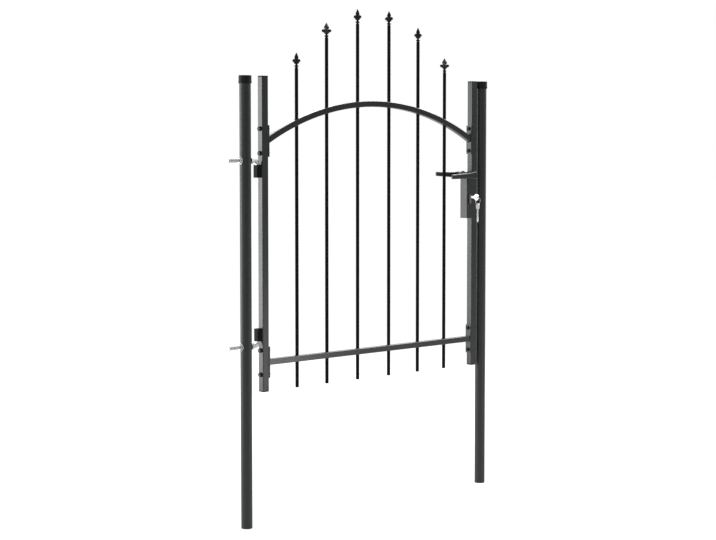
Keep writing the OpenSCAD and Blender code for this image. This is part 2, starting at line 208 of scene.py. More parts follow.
# %% Paint of the floor
PAINT, GLOW, DIM = 0.8, 0.87, 0.35
floor_paint = bpy.data.materials.new("floor_white")
tree = node_tree(floor_paint)
paint = add_node(tree, "BsdfDiffuse", Color=(PAINT, PAINT, PAINT, 1))
glow = add_node(tree, "Emission", Color=WHITE, Strength=GLOW)
dim = add_node(tree, "BsdfDiffuse", Color=(DIM, DIM, DIM, 1))
shown = add_node(tree, "AddShader")
link(tree, (glow.outputs[0], shown.inputs[0]), (dim.outputs[0], shown.inputs[1]))
sheen = add_node(tree, "Emission", Color=WHITE)
spot = add_node(tree, "NewGeometry")
depth = add_node(tree, "SeparateXYZ")
link(tree, (spot.outputs["Position"], depth.inputs[0]))
fade = soft_step(tree, depth.outputs["Y"], (-8.0, -0.5), (0.4, 1.0))
link(tree, (fade, sheen.inputs["Strength"]))
glossy = add_node(tree, "LightPath").outputs["Is Glossy Ray"]
seen = choose(tree, glossy, shown.outputs[0], sheen.outputs[0])
surface = choose(tree, direct_view(tree), paint.outputs[0], seen)
out = add_node(tree, "OutputMaterial")
link(tree, (surface, out.inputs["Surface"]))
print("made", floor_paint.name)

# %% [markdown]
# The floor is one wide plane, a hair below the posts' feet. It is part of the stage and not
# of the gate.

# %% White floor
bpy.ops.object.select_all(action="DESELECT")
bpy.ops.mesh.primitive_plane_add(size=60, location=(0, 0, -0.0005))
floor = bpy.context.object
floor.name = "studio_floor"
floor.data.materials.append(floor_paint)
print("floor ready at height", round(floor.location.z, 4))

# %% [markdown]
# ## Lamps
#
# Five soft lamps light the gate. A wide one stands to the left, level with the gate and a
# little behind its plane. It brightens the faces of the tubes that look left and leaves the
# front in soft shade, which is what makes square tube read as square. Two hang behind the
# gate and to its right, above the leaf, and pick out top edges and right-hand sides. The
# last two stand in front: a small low one lifts the foot of the gate, and one at the upper
# right, aimed at the lock, puts a glint on the lever, the arch and the castings.

# %% Lamps
def soft_lamp(name, place, aim, width, height, strength):
    """An area lamp of one radiance, whatever its size."""
    data = bpy.data.lights.new(name, "AREA")
    data.shape = "RECTANGLE"
    data.size, data.size_y = width, height
    data.energy = strength * pi * width * height
    lamp = bpy.data.objects.new(name, data)
    scene.collection.objects.link(lamp)
    lamp.location = place
    lamp.rotation_euler = (Vector(aim) - Vector(place)).to_track_quat("-Z", "Y").to_euler()
    return lamp


soft_lamp("left_lamp", (-1.95, 2.1, 0.75), (0.5, 0, 0.8), 1.6, 2.2, 5.5)
soft_lamp("back_lamp", (2.5, 2.7, 2.85), (0.5, 0, 1.2), 3.4, 1.0, 4.5)
soft_lamp("right_lamp", (2.7, 0.7, 2.9), (0.8, 0, 1.1), 2.0, 2.2, 5.0)
soft_lamp("low_lamp", (1.62, -2.35, 0.15), (0.1, 0, 0.5), 0.6, 0.4, 5.0)
soft_lamp("glint_lamp", (2.7, -0.8, 2.85), (0.95, -0.04, 1.16), 1.4, 1.4, 6.0)

# %% [markdown]
# ## Finishes
#
# Every finish is one Principled shader with patterns of noise on its colour, its gloss and
# its bumps. All patterns read Object coordinates, which are the gate's own metres, so their
# scale is real. The first helper makes the plain shader, and the others lay a pattern on it.

# %% A plain finish
def finish(name, color, roughness, metallic=0.0, specular=0.5):
    """A material with a Principled shader, its node tree, the shader and its Object coordinates."""
    material = bpy.data.materials.new(name)
    tree = node_tree(material)
    shader = add_node(tree, "BsdfPrincipled", Roughness=roughness, Metallic=metallic)
    shader.inputs["Base Color"].default_value = (*color, 1)
    shader.inputs["Specular IOR Level"].default_value = specular
    out = add_node(tree, "OutputMaterial")
    link(tree, (shader.outputs[0], out.inputs["Surface"]))
    place = add_node(tree, "TexCoord")
    return material, tree, shader, place.outputs["Object"]


def grain(tree, place, scale, detail=2.0):
    """Noise of so many grains to the metre."""
    n = add_node(tree, "TexNoise", Scale=scale, Detail=detail)
    link(tree, (place, n.inputs["Vector"]))
    return n.outputs["Fac"]


print("helpers for a finish and its grain ready")

# %% [markdown]
# Noise can drive three things on a surface: a blend of two colours, a range of roughness and
# the height of small bumps. Driving colour and roughness with the same noise looks right,
# because on a real skin both change in the same places.

# %% Patterns on a finish
def blend_range(tree, factor, low, high):
    """A value that runs from low to high with factor."""
    n = add_node(tree, "MapRange")
    n.inputs["To Min"].default_value = low
    n.inputs["To Max"].default_value = high
    link(tree, (factor, n.inputs["Value"]))
    return n.outputs["Result"]


def blend_color(tree, factor, first, second):
    """A colour that runs from first to second with factor."""
    n = add_node(tree, "Mix", data_type="RGBA")
    n.inputs[6].default_value = (*first, 1)
    n.inputs[7].default_value = (*second, 1)
    link(tree, (factor, n.inputs[0]))
    return n.outputs[2]


def vary(tree, shader, factor, colors, roughness):
    """Lets colour and roughness run from their first to their second value with factor."""
    link(
        tree, (blend_color(tree, factor, *colors), shader.inputs["Base Color"]),
        (blend_range(tree, factor, *roughness), shader.inputs["Roughness"]),
    )


def bumps(tree, shader, factor, height):
    """Bumps of that height in metres."""
    n = add_node(tree, "Bump", Strength=1.0, Distance=height)
    link(tree, (factor, n.inputs["Height"]), (n.outputs[0], shader.inputs["Normal"]))


print("helpers for colour, gloss and bumps ready")

# %% [markdown]
# The tubes are powder-coated in anthracite grey: a satin plastic skin with a fine orange
# peel. The orange peel is a small bump from noise, and a second, larger noise varies the
# tone and the gloss a little, as a sprayed coat does. There are five coats: the plain one
# for stiles, plates and lock case, a duller and darker one for the thin bars and the
# barrels, a dark glossy one for the castings, a satin one for the round posts and a smooth,
# darker one with a strong shine for the two rails. The darker colours of the bars', the
# castings' and the rails' coats are painted shade.

# %% Powder coat
PATCHES, PEEL = 9, 900
GLOSS_SPREAD, TONE_SPREAD = 0.07, 0.12


def powder_coat(name, color, roughness, specular=0.5, peel=0.000025):
    """A sprayed coat whose orange peel is that high in metres."""
    material, tree, shader, place = finish(name, color, roughness, specular=specular)
    darker = tuple(c * (1 - TONE_SPREAD) for c in color)
    lighter = tuple(c * (1 + TONE_SPREAD) for c in color)
    gloss = (roughness - GLOSS_SPREAD, roughness + GLOSS_SPREAD)
    vary(tree, shader, grain(tree, place, PATCHES, 4), (darker, lighter), gloss)
    bumps(tree, shader, grain(tree, place, PEEL, 3), peel)
    return material


ANTHRACITE = (0.019, 0.021, 0.022)
# This near black is painted shade: it darkens the bars and castings beyond the anthracite.
PAINTED_SHADE_BLACK = (0.0035, 0.0038, 0.004)
coat = powder_coat("anthracite_powder_coat", ANTHRACITE, 0.30)
shaded_bar_coat = powder_coat("bar_coat_painted_shade", PAINTED_SHADE_BLACK, 0.48, specular=0.08, peel=0.00002)
shaded_casting_coat = powder_coat("casting_coat_painted_shade", PAINTED_SHADE_BLACK, 0.20, specular=0.22, peel=0.00003)
post_coat = powder_coat("post_powder_coat", ANTHRACITE, 0.42, specular=0.45)
# This colour, darker than the anthracite, is painted shade on the rails.
shaded_rail_coat = powder_coat("rail_coat_painted_shade", (0.006, 0.0065, 0.007), 0.24, specular=0.75)
print("made", coat.name, shaded_rail_coat.name, shaded_bar_coat.name, shaded_casting_coat.name, post_coat.name)

# %% [markdown]
# ## Finishes of the tubes and plates
#
# The nodes that keep their own shape only need a finish. We give them all the powder coat
# first, and change the few that take another coat: the bars and the bottom rail get the
# coats with painted shade, and the posts the satin one.

# %% Coat every node
for name, node in nodes.items():
    node.data.materials.clear()
    node.data.materials.append(coat)
for i in BARS:
    nodes[f"bar_{i}"].data.materials[0] = shaded_bar_coat
for name in ("hinge_post", "latch_post"):
    nodes[name].data.materials[0] = post_coat
nodes["bottom_rail"].data.materials[0] = shaded_rail_coat
print("coated", len(nodes), "nodes")

# %% [markdown]
# ## Tools for modelling
#
# Modelling by hand is a round of three moves: pick faces or edges, extrude or resize them,
# pick again. The helpers are those moves, and each comes where it is first used. The first
# ones choose what the operators act on, because an operator acts on all that is selected.

# %% Choose, start and edit a piece
def deselect():
    if bpy.context.mode != "OBJECT":
        bpy.ops.object.mode_set(mode="OBJECT")
    bpy.ops.object.select_all(action="DESELECT")


def only(*pieces):
    deselect()
    for piece in pieces:
        piece.select_set(True)
    bpy.context.view_layer.objects.active = pieces[0]


def start(name, kind, **values):
    """A primitive at its size and place, with its place moved into its mesh."""
    deselect()
    getattr(bpy.ops.mesh, f"primitive_{kind}_add")(**values)
    piece = bpy.context.object
    piece.name = name
    bpy.ops.object.transform_apply(location=True, rotation=True, scale=True)
    return piece


def edit(piece, kind="FACE", everything=False):
    """Opens a piece for editing, with nothing selected or everything."""
    only(piece)
    bpy.ops.object.mode_set(mode="EDIT")
    bpy.ops.mesh.select_mode(type=kind)
    bpy.ops.mesh.select_all(action="SELECT" if everything else "DESELECT")


def leave_edit():
    bpy.ops.object.mode_set(mode="OBJECT")


deselect()

# %% [markdown]
# ## Spearheads
#
# Each bar ends in a cast iron spearhead: a collar, a cup, four petals that curl outwards and
# a four-edged blade. A foundry casts it in one piece, so every junction is a soft fillet.
# We rough out the shapes, join all but the blade and let a voxel remesh weld them
# into one skin. A little smoothing then gives the fillets, and a decimate keeps the point
# count low.
#
# The turned part comes first: a disc, extruded upwards again and again and resized each
# time, as on a lathe. All heights are shares of the head's own height.

# %% A turned piece
def extrude(move):
    bpy.ops.mesh.extrude_region_move(TRANSFORM_OT_translate={"value": move})


def resize(factors, center):
    bpy.ops.transform.resize(value=factors, center_override=center)


def tidy(piece):
    """Merges doubles and turns the faces outwards."""
    edit(piece, everything=True)
    bpy.ops.mesh.remove_doubles(threshold=0.00001)
    bpy.ops.mesh.normals_make_consistent(inside=False)
    leave_edit()


def turned(name, profile, sides, scale=1.0):
    """Extrudes a disc up through pairs of height and radius."""
    (z, r), *rest = [(height * scale, radius * scale) for height, radius in profile]
    piece = start(name, "circle", vertices=sides, radius=r, fill_type="NGON", location=(0, 0, z))
    edit(piece, everything=True)
    for next_z, next_r in rest:
        extrude((0, 0, next_z - z))
        resize((next_r / r, next_r / r, 1), (0, 0, next_z))
        z, r = next_z, next_r
    tidy(piece)
    return piece


HEAD_UNITS = 52
head_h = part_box("spearhead_1")[1].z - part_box("bar_1")[1].z
unit = head_h / HEAD_UNITS
print("head height", round(head_h, 4), "one unit", round(unit, 5))

# %% [markdown]
# The profile starts with the spigot inside the bar, and goes up through the collar and a
# narrow neck to the belly of the cup. Each pair is a height and a radius.

# %% Turned collar and cup
TURNED = [
    (-8, 4.6), (-0.6, 4.6), (-0.5, 6.2), (0.3, 6.4), (0.8, 5.6), (1.2, 4.2), (2.6, 4.1), (3.1, 5.8),
    (3.7, 6.9), (5.0, 7.1), (7.6, 7.1), (8.6, 6.8), (9.2, 5.6), (9.9, 3.9), (12.2, 3.8), (13.0, 5.2),
    (14.2, 7.2), (15.8, 8.6), (17.8, 9.3), (20.0, 9.2), (22.4, 8.0), (24.8, 6.2), (27.0, 4.6),
]
turned_part = turned("turned_part", TURNED, 40, unit)
print("turned part", len(turned_part.data.polygons), "faces")

# %% [markdown]
# The blade is the same kind of stack on eight points. The points on the flats are pulled
# in, which hollows the flats slightly and leaves four keen edges, as on a forged spear.
# Picking goes by place or by normal, so the same lines find the same points each time.

# %% Pick and modify
def pick(piece, test):
    """Selects faces by middle and normal, or points by place, as the select mode says."""
    bpy.ops.mesh.select_all(action="DESELECT")
    mesh = bmesh.from_edit_mesh(piece.data)
    if "FACE" in mesh.select_mode:
        for face in mesh.faces:
            face.select_set(test(face.calc_center_median(), face.normal))
    else:
        for point in mesh.verts:
            point.select_set(test(point.co, point.normal))
    mesh.select_flush_mode()
    bmesh.update_edit_mesh(piece.data)


def modify(piece, kind, **values):
    """Adds a modifier and applies it."""
    only(piece)
    modifier = piece.modifiers.new(kind.lower(), kind)
    for key, value in values.items():
        setattr(modifier, key, value)
    bpy.ops.object.modifier_apply(modifier=modifier.name)


def on_a_flat(place, normal):
    """True half way between two edges of the blade."""
    return abs(abs(place.x) - abs(place.y)) < 0.4 * max(abs(place.x), abs(place.y))


print("helpers to pick and modify ready")

# %% [markdown]
# The blade's own profile swells from the cup to its widest place and then runs to a point.

# %% Blade
BLADE = [
    (22, 4.6), (26, 5.4), (28, 6.4), (30.5, 7.8), (33, 8.7), (35.5, 8.9), (38, 8.3), (41, 6.9),
    (44, 5.2), (47, 3.3), (50, 1.5), (51.9, 0.35),
]
HOLLOW = 0.80
blade = turned("blade", BLADE, 8, unit)
edit(blade, "VERT")
pick(blade, on_a_flat)
resize((HOLLOW, HOLLOW, 1), (0, 0, 0))
leave_edit()
modify(blade, "BEVEL", width=0.0003, segments=2, limit_method="ANGLE", angle_limit=radians(50))
print("blade faces", len(blade.data.polygons))

# %% [markdown]
# One petal starts as a block in the cup. Its outer face leans over and grows outwards and
# upwards, step by step, so the four together make a bowl. Subdivision then rounds the block.

# %% One petal
# Each step of a petal: how far it goes out and up, and the shares of width and height it keeps
PETAL_STEPS = [(2.4, 1.2, 1.0, 0.90), (2.2, 1.6, 0.98, 0.88), (2.0, 1.5, 0.95, 0.88), (1.8, 1.0, 0.9, 0.88)]
petal = start("petal", "cube", size=unit, location=(3.5 * unit, 0, 20 * unit), scale=(5, 11, 12))
edit(petal)
pick(petal, lambda place, normal: normal.x > 0.9)
for out, up, narrower, flatter in PETAL_STEPS:
    extrude((out * unit, 0, up * unit))
    mesh = bmesh.from_edit_mesh(petal.data)
    end = next(f for f in mesh.faces if f.select).calc_center_median()
    resize((1, narrower, flatter), end)
tidy(petal)
modify(petal, "SUBSURF", levels=2, render_levels=2)
reach = max(v.co.x for v in petal.data.vertices) / unit
print("petal reaches", round(reach, 1), "of the head's", HEAD_UNITS, "units")

# %% [markdown]
# A ball pressed a bit flat is the blunt knob at the petal's end. Three copies, each with a
# mesh of its own, turn the petal round the axis.

# %% Knob and four petals
def join(*pieces):
    only(*pieces)
    bpy.ops.object.join()
    return pieces[0]


def copy_to(piece, name, place):
    """A copy with its own mesh, put in place by a matrix."""
    only(piece)
    bpy.ops.object.duplicate(linked=False)
    copy = bpy.context.object
    copy.name = name
    copy.matrix_world = place
    bpy.ops.object.transform_apply(location=True, rotation=True, scale=True)
    return copy


knob = start(
    "knob", "uv_sphere", segments=24, ring_count=16, radius=5.9 * unit,
    location=(11.1 * unit, 0, 24.3 * unit), scale=(1, 1, 0.95),
)
petal = join(petal, knob)
petals = [petal] + [copy_to(petal, f"petal_{k}", Matrix.Rotation(radians(90 * k), 4, "Z")) for k in (1, 2, 3)]
print("petals", len(petals))

# %% [markdown]
# Now the pieces become one casting. The blade stays out of the remesh, because its four
# edges should stay keen, and is joined on afterwards.

# %% Weld into one casting
VOXEL = 0.00055
casting = join(turned_part, *petals)
casting.name = "casting"
modify(casting, "REMESH", mode="VOXEL", voxel_size=VOXEL, use_smooth_shade=True)
modify(casting, "SMOOTH", factor=0.5, iterations=3)
modify(casting, "DECIMATE", ratio=0.3)
casting = join(casting, blade)
print("casting faces", len(casting.data.polygons))

# %% [markdown]
# The six heads were welded on by eye, so each is turned a little differently. Each finished
# piece ends with the same few lines: smooth shading, its finish, the body it moves with and
# the node that it stands for.

# %% Six heads
def discard(*pieces):
    for piece in pieces:
        bpy.data.objects.remove(piece, do_unlink=True)


def hand_over(piece, material, slot, body, *replaced):
    """The last step of each piece: shading, finish, body and the node that it stands for."""
    only(piece)
    bpy.ops.object.shade_smooth_by_angle(angle=radians(35))
    modify(piece, "WEIGHTED_NORMAL", keep_sharp=True)
    piece.data.materials.clear()
    piece.data.materials.append(material)
    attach(piece, body)
    if replaced:
        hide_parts(*replaced)


HEAD_TURNS = dict(zip(BARS, (7, 51, 5, 12, 3, 47)))
for i in BARS:
    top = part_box(f"bar_{i}")[1].z
    turn = Matrix.Rotation(radians(HEAD_TURNS[i]), 4, "Z")
    place = Matrix.Translation((middle(f"bar_{i}").x, 0, top)) @ turn
    head = copy_to(casting, f"cast_spearhead_{i}", place)
    hand_over(head, shaded_casting_coat, "anthracite_coat", "leaf", f"spearhead_{i}")
discard(casting)
print("placed", len(HEAD_TURNS), "heads")

# %% [markdown]
# ## Levers
#
# A pair of plain black levers works the latch. Each is a zinc casting: a round root on the
# spindle, a flat arm that narrows towards its tip, and a hub that reaches to the lock case.
# We pull the arm out of a small block, section by section, set it on the root and the hub,
# and round all edges with a bevel.

# %% Arm, with the spindle at the origin and the arm along -X
ARM_T = 0.012
STUB, STUB_HALF = 0.002, 0.0138
# Sections of the arm: distance along it and half its height
ARM = [
    (0.0070, 0.0131), (0.0120, 0.0124), (0.0170, 0.0116), (0.0220, 0.0109), (0.0280, 0.0101),
    (0.0500, 0.0094), (0.0800, 0.0087), (0.1137, 0.0079),
]
arm_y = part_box("front_lever")[0].y + ARM_T / 2
lever = start("lever", "cube", size=1, location=(-STUB / 2, arm_y, 0), scale=(STUB, ARM_T, 2 * STUB_HALF))
edit(lever)
pick(lever, lambda place, normal: normal.x < -0.9)
at, half = -STUB, STUB_HALF
for reach, next_half in ARM:
    extrude((-reach - at, 0, 0))
    resize((1, 1, next_half / half), (-reach, arm_y, 0))
    at, half = -reach, next_half
print("lever reaches", round(-at, 4))

# %% [markdown]
# The two corners of the tip are rounded with a wide bevel. Their edges are the ones at the far
# end that run straight through the arm, so both of an edge's points lie at the same height.

# %% Round tip
TIP_CORNER = 0.0045
bpy.ops.mesh.select_mode(type="EDGE")
bpy.ops.mesh.select_all(action="DESELECT")
mesh = bmesh.from_edit_mesh(lever.data)
for edge in mesh.edges:
    one, two = (v.co for v in edge.verts)
    edge.select_set(max(one.x, two.x) < at + 0.0001 and abs(one.z - two.z) < 0.0001)
bmesh.update_edit_mesh(lever.data)
bpy.ops.mesh.bevel(offset=TIP_CORNER, segments=6)
tidy(lever)
print("arm", len(lever.data.polygons), "faces")

# %% [markdown]
# A Boolean union sets the arm on its round root. It leaves needless lines on the flat faces,
# which are dissolved before a generous bevel rounds the whole outline.

# %% Round root and soft outline
ROOT_R = 0.014
ARM_ROUND = 0.0042
root = start(
    "root", "cylinder", vertices=64, radius=ROOT_R, depth=ARM_T, location=(0, arm_y, 0),
    rotation=(pi / 2, 0, 0),
)
modify(lever, "BOOLEAN", operation="UNION", object=root, solver="EXACT")
discard(root)
tidy(lever)
edit(lever, everything=True)
bpy.ops.mesh.dissolve_limited(angle_limit=radians(0.5))
bpy.ops.mesh.select_all(action="DESELECT")
leave_edit()
modify(
    lever, "BEVEL", width=ARM_ROUND, segments=8, limit_method="ANGLE", angle_limit=radians(60),
    use_clamp_overlap=False,
)
tidy(lever)
print("arm and root", len(lever.data.polygons), "faces")

# %% [markdown]
# The hub widens like a cone towards the lock. It goes on after the wide bevel, and a small
# bevel softens its edges.

# %% Hub
HUB_R, HUB_BASE_R = 0.012, 0.0155
HUB_ROUND = 0.0006
hub_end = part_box("front_lever")[1].y
hub = start(
    "hub", "cone", vertices=64, radius1=HUB_BASE_R, radius2=HUB_R, depth=hub_end - arm_y,
    location=(0, (hub_end + arm_y) / 2, 0), rotation=(pi / 2, 0, 0),
)
modify(lever, "BOOLEAN", operation="UNION", object=hub, solver="EXACT")
discard(hub)
tidy(lever)
modify(lever, "BEVEL", width=HUB_ROUND, segments=2, limit_method="ANGLE", angle_limit=radians(40))
tidy(lever)
print("lever", len(lever.data.polygons), "faces")

# %% [markdown]
# The front lever hangs a little and the back one stands up a little, as a sprung pair does.
# The back lever is the front one mirrored, so its faces are turned outwards again.

# %% Both levers
DROOP, RISE = radians(2), radians(3)
satin_black = powder_coat("lever_satin_black", (0.018, 0.018, 0.019), 0.30)
spindle_at = Vector((middle("spindle").x, 0, middle("spindle").z))
to_spindle = Matrix.Translation(spindle_at)
mirror = Matrix.Scale(-1, 4, (0, 1, 0))
front = copy_to(lever, "front_lever_casting", to_spindle @ Matrix.Rotation(-DROOP, 4, "Y"))
back = copy_to(lever, "back_lever_casting", to_spindle @ Matrix.Rotation(RISE, 4, "Y") @ mirror)
tidy(back)
discard(lever)
hand_over(front, satin_black, "lever_black", "levers", "front_lever")
hand_over(back, satin_black, "lever_black", "levers", "back_lever")
print("levers on the spindle at", tuple(round(v, 4) for v in spindle_at))

# %% [markdown]
# ## Bright metal
#
# The hinge bolts are zinc plated: a pale, slightly bluish grey with cloudy patches and a
# satin shine. Keys, ring and lock cylinder are nickel plated, which is warmer. The
# cylinder's nickel is a darker copy, whose darkness is painted shade standing in for the
# dark front that it mirrors. All are real metals to the shader, so nearly all that they
# show is the room around them. Fine scratches, stretched noise, break up the reflections.

# %% Plated metals
CLOUDS, SCRATCHES = 140, 2600
STRETCH = (1, 5, 0.4)


def plated(name, color, cloudy, roughness, spread, scratch):
    """A plated metal, cloudy in patches, whose scratches are that deep in metres."""
    material, tree, shader, place = finish(name, color, roughness, metallic=1.0)
    gloss = (roughness + spread, roughness - spread)
    vary(tree, shader, grain(tree, place, CLOUDS, 5), (cloudy, color), gloss)
    stretch = add_node(tree, "Mapping", vector_type="POINT")
    stretch.inputs["Scale"].default_value = STRETCH
    link(tree, (place, stretch.inputs["Vector"]))
    bumps(tree, shader, grain(tree, stretch.outputs[0], SCRATCHES, 2), scratch)
    return material


zinc = plated("bright_zinc", (0.66, 0.67, 0.66), (0.46, 0.47, 0.47), 0.34, 0.08, 0.00002)
nickel = plated("warm_nickel", (0.60, 0.59, 0.57), (0.50, 0.49, 0.47), 0.40, 0.06, 0.00001)
# This darker nickel is painted shade: it stands for the dark front that the cylinder mirrors.
nickel_painted_shade = plated("nickel_painted_shade", (0.30, 0.29, 0.28), (0.22, 0.215, 0.21), 0.30, 0.05, 0.00001)
print("made", zinc.name, nickel.name, nickel_painted_shade.name)

# %% [markdown]
# ## Hinge bolts
#
# Each hinge is a threaded rod through the post, bent into a pin that the barrel turns on.
# The thread is a small zigzag of one pitch, wound round the rod by the Screw modifier. Cut
# off square at both ends and filled, it is a closed solid. Two helpers come first: one tells
# where a piece lies, and one makes the two cuts.

# %% Measure and cut a piece
def corners(piece):
    """The low and the high corner of a piece, rounded for printing."""
    return [[round(v, 4) for v in piece.bound_box[k]] for k in (0, 6)]


def cut_between(piece, low_x, high_x):
    """Cuts a piece off square at two places along X and closes both ends."""
    for x, keep_right in ((low_x, True), (high_x, False)):
        bpy.ops.mesh.select_all(action="SELECT")
        bpy.ops.mesh.bisect(
            plane_co=(x, 0, 0), plane_no=(1, 0, 0), use_fill=True,
            clear_inner=keep_right, clear_outer=not keep_right,
        )
    tidy(piece)


print("hinge bolt from", *corners(nodes["upper_hinge_bolt"]))

# %% [markdown]
# The zigzag has a flat crest and a flat root, as a rolled thread does. The Screw modifier
# needs a few turns more than the thread is long, so that both cuts go through full thread.

# %% A screw thread
# One pitch of thread: share of the pitch along it and share of the depth below the crest
ZIGZAG = [(0, 1), (0.10, 1), (0.44, 0), (0.60, 0), (0.94, 1), (1, 1)]


def threaded(name, start_x, end_x, radius, pitch, depth, steps=24):
    """A screw thread along X between two places, closed at both ends."""
    piece = start(name, "plane", size=1)
    edit(piece, "VERT", everything=True)
    bpy.ops.mesh.delete(type="VERT")
    leave_edit()
    x = start_x - 1.5 * pitch
    points = [(x + share * pitch, 0, radius - dip * depth) for share, dip in ZIGZAG]
    piece.data.from_pydata(points, [(k, k + 1) for k in range(len(points) - 1)], [])
    modify(
        piece, "SCREW", axis="X", angle=2 * pi, screw_offset=pitch, steps=steps, render_steps=steps,
        iterations=int((end_x - start_x) / pitch) + 3, use_merge_vertices=True, merge_threshold=0.00001,
    )
    edit(piece)
    cut_between(piece, start_x, end_x)
    return piece


tail_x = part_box("upper_hinge_bolt")[0].x
ROD_R = size("upper_hinge_bolt").y / 2
PITCH, DEPTH = 0.00175, 0.00095
POINT, PAST_NUT = 0.0012, 0.003
THREAD_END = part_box("upper_hinge_nuts")[1].x + PAST_NUT
thread = threaded("thread", tail_x + POINT, THREAD_END, ROD_R, PITCH, DEPTH)
print("thread", corners(thread), len(thread.data.polygons), "faces")

# %% [markdown]
# The thread ends in a point, a short disc of the core's radius with its far edge cut back.
# A disc along X is needed often, so it gets its own helper.

# %% Chamfered end of the thread
def disc(name, radius, depth, start_x=0.0, sides=48):
    """A round disc along +X."""
    place = (start_x + depth / 2, 0, 0)
    return start(
        name, "cylinder", vertices=sides, radius=radius, depth=depth, location=place, rotation=(0, pi / 2, 0)
    )


def chamfer_end(piece, test, offset, segments):
    """Bevels the edges of the faces that the test finds."""
    edit(piece)
    pick(piece, test)
    bpy.ops.mesh.bevel(offset=offset, segments=segments)
    leave_edit()


point = disc("point", ROD_R - DEPTH, 0.006, tail_x)
chamfer_end(point, lambda place, normal: normal.x < -0.9, 0.0008, 2)
thread = join(thread, point)
print("thread with its point", corners(thread))

# %% [markdown]
# The bend is the end face of the shank, spun through a quarter turn, and the pin is the same
# face, extruded on. The upper bolt bends down and the lower one up, so the leaf can't be
# lifted off its pins.

# %% Shank, bend and pin
BEND_R = 0.014
LAP = 0.001
PIN_CHAMFER = 0.001
bend_x = middle("upper_hinge_barrel").x - BEND_R


def bent_rod(name, way, pin_end):
    """The plain part of a hinge bolt: shank, quarter bend up (1) or down (-1) and pin."""
    rod = start(
        name, "circle", vertices=32, radius=ROD_R, fill_type="NGON", location=(THREAD_END - LAP, 0, 0),
        rotation=(0, pi / 2, 0),
    )
    edit(rod, everything=True)
    extrude((bend_x - THREAD_END + LAP, 0, 0))
    bpy.ops.mesh.spin(steps=12, angle=radians(-90) * way, center=(bend_x, 0, way * BEND_R), axis=(0, -1, 0))
    extrude((0, 0, pin_end - way * BEND_R))
    bpy.ops.mesh.inset(thickness=PIN_CHAMFER)
    bpy.ops.transform.translate(value=(0, 0, way * PIN_CHAMFER))
    tidy(rod)
    return rod


for name, way in (("upper", -1), ("lower", 1)):
    node = f"{name}_hinge_bolt"
    low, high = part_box(node)
    at = middle(f"{name}_hinge_nuts").z
    pin_end = (high.z if way > 0 else low.z) - at - way * PIN_CHAMFER
    rod = bent_rod(f"{name}_rod", way, pin_end)
    tail = copy_to(thread, f"{name}_thread", Matrix.Identity(4))
    bolt = join(rod, tail)
    bolt.name = f"{name}_threaded_bolt"
    bolt.data.transform(Matrix.Translation((0, 0, at)))
    hand_over(bolt, zinc, "zinc_plate", "posts", node)
    print(bolt.name, corners(bolt))
discard(thread)

# %% [markdown]
# ## Nuts and washers on the hinge bolts
#
# A hexagon nut is turned from hexagon bar, and the lathe cuts its corners back, which leaves
# curved chamfer lines. We copy that: the Boolean modifier keeps only what a six-sided block
# and a chamfered disc have in common. The mouth of the thread is a small countersink.

# %% A hexagon along +X from the origin
MOUTH = 0.0008


def hexagon(name, across, height, hole_r):
    """A nut or head with cut-back corners at its far end, and a countersunk mouth if it has a hole."""
    corner = across / 2 / cos(radians(30))
    block = disc(name, corner, height, sides=6)
    turned_disc = disc("turned_disc", corner * 1.02, height)
    chamfer_end(turned_disc, lambda place, normal: normal.x > 0.9, corner - across / 2 * 0.97, 1)
    modify(block, "BOOLEAN", operation="INTERSECT", object=turned_disc, solver="EXACT")
    discard(turned_disc)
    tidy(block)
    if hole_r:
        edit(block)
        pick(block, lambda place, normal: normal.x > 0.98 and place.x > height * 0.98)
        bpy.ops.mesh.inset(thickness=across / 2 * 0.95 - hole_r - MOUTH)
        extrude((-MOUTH, 0, 0))
        resize((1, 0.9, 0.9), (0, 0, 0))
        leave_edit()
    return block


WASHER_R = size("upper_hinge_nuts").z / 2
WASHER_T = 0.002
NUT_AF = 0.019
nut_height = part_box("upper_hinge_nuts")[1].x - post_radius - WASHER_T
nut = hexagon("nut", NUT_AF, nut_height, ROD_R)
nut.data.transform(Matrix.Translation((post_radius + WASHER_T, 0, 0)))
washer = disc("washer", WASHER_R, WASHER_T, post_radius)
modify(washer, "BEVEL", width=0.0004, segments=2, limit_method="ANGLE")
nut = join(nut, washer)
print("nut and washer", len(nut.data.polygons), "faces")

# %% [markdown]
# One nut sits on either side of the post on each bolt. A spanner leaves them at any angle,
# so each is turned by an amount of its own.

# %% Nuts on both sides of the post, on both bolts
for name, turn in (("upper", 9), ("lower", 23)):
    lift = Matrix.Translation((0, 0, middle(f"{name}_hinge_nuts").z))
    pair = []
    for side, twist in ((0, turn), (pi, turn + 17)):
        place = lift @ Matrix.Rotation(side, 4, "Z") @ Matrix.Rotation(radians(twist), 4, "X")
        pair.append(copy_to(nut, f"{name}_nut_{len(pair) + 1}", place))
    pair = join(*pair)
    pair.name = f"{name}_nuts_and_washers"
    hand_over(pair, zinc, "zinc_plate", "posts", f"{name}_hinge_nuts")
    print(pair.name, corners(pair))
discard(nut)

# %% [markdown]
# ## Bracket bolts
#
# Eight black bolts hold the rails' bracket plates to the stiles: a hexagon head on a washer
# on the stile's outer face, a nut on the plate and two threads showing past it. The finish
# is black oxide, so it has a dull metallic sheen.

# %% Black oxide
black_oxide, tree, shader, place = finish("black_oxide", (0.02, 0.02, 0.021), 0.45, metallic=0.6)
vary(tree, shader, grain(tree, place, 260, 4), ((0.014, 0.014, 0.015), (0.036, 0.035, 0.034)), (0.55, 0.36))
bumps(tree, shader, grain(tree, place, 1800, 2), 0.00003)
print("made", black_oxide.name)

# %% [markdown]
# The hexagon of the hinge nuts, at another size, serves as head and nut, and the thread of
# the hinge bolts, cut finer, as the bolt's end. One bolt is put together from them with the
# stile's outer face at the origin, so every measure along it is read from the nodes' boxes.

